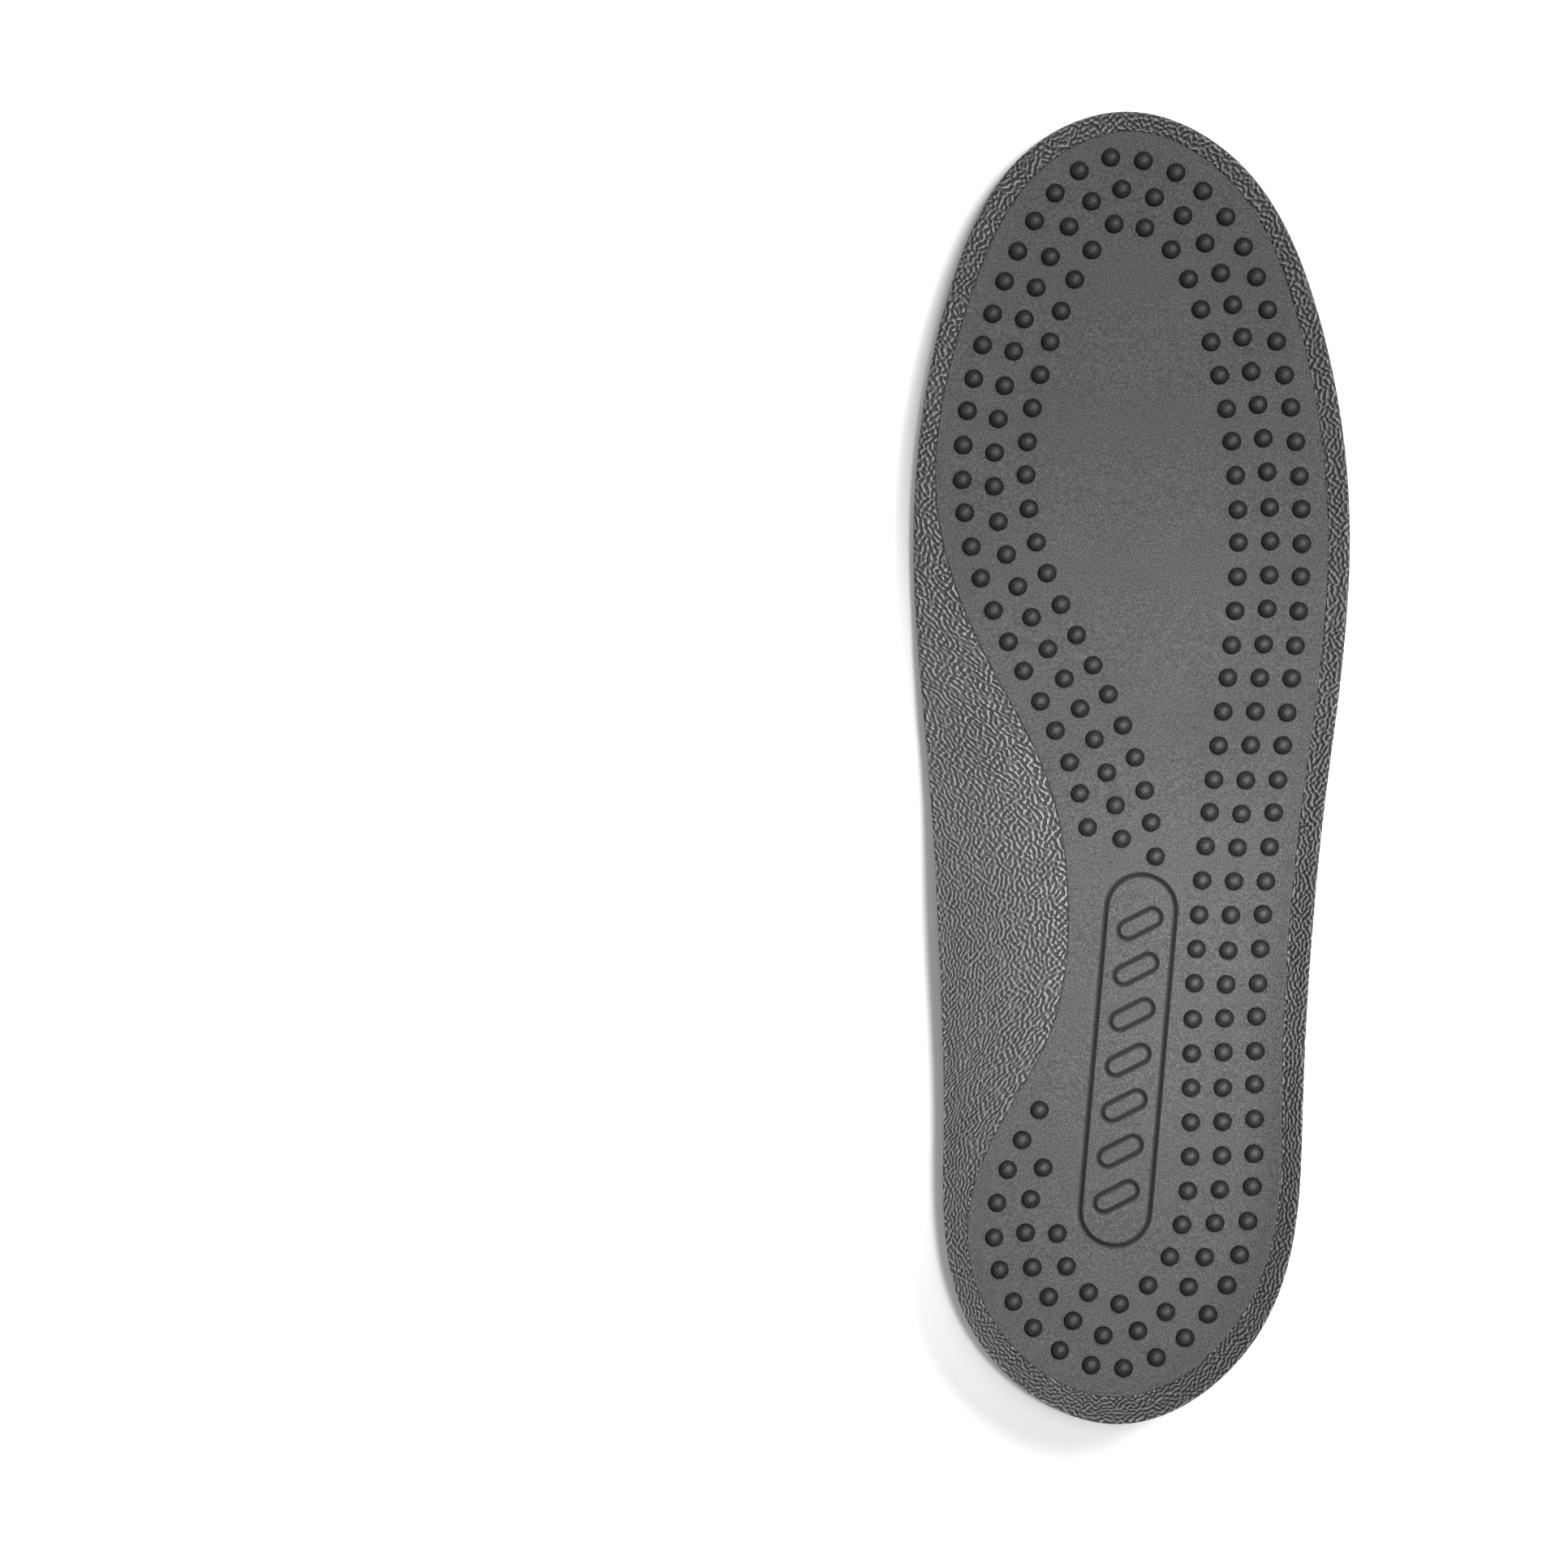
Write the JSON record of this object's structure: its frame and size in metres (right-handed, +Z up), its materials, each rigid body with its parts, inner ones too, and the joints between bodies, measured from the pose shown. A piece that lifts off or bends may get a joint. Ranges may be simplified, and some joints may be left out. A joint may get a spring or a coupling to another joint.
{
  "type": "cushioned insole",
  "caption": "Right-foot cushioned insole: a contoured grain-faced foam cup with a raised arch, holding a smooth top panel with rows of massage nubs over a soft padded core.",
  "frame": {"origin": "middle of the footprint, on the underside", "axes": "+X towards the outer (lateral) side of the right foot, +Y towards the toe, +Z up out of the face the foot rests on"},
  "size_m": [0.0879, 0.264, 0.0256],
  "materials": {
    "cup_foam": "matte wrinkled leather-like grain, moulded foam",
    "panel_foam": "satin, fine speckled skin on soft foam",
    "nub_rubber": "satin moulded rubber",
    "core_foam": "matte open-cell foam",
    "pad_gel": "soft translucent gel",
    "support_foam": "matte firm foam",
    "liner_fabric": "fine woven lining bonded to the underside"
  },
  "bodies": {
    "root": {"contour_cup": "cup_foam", "top_panel": "panel_foam", "nub_mat": "nub_rubber", "cushion_core": "core_foam", "heel_pad": "pad_gel", "forefoot_pad": "pad_gel", "arch_support": "support_foam", "bottom_liner": "liner_fabric"}
  },
  "joints": []
}
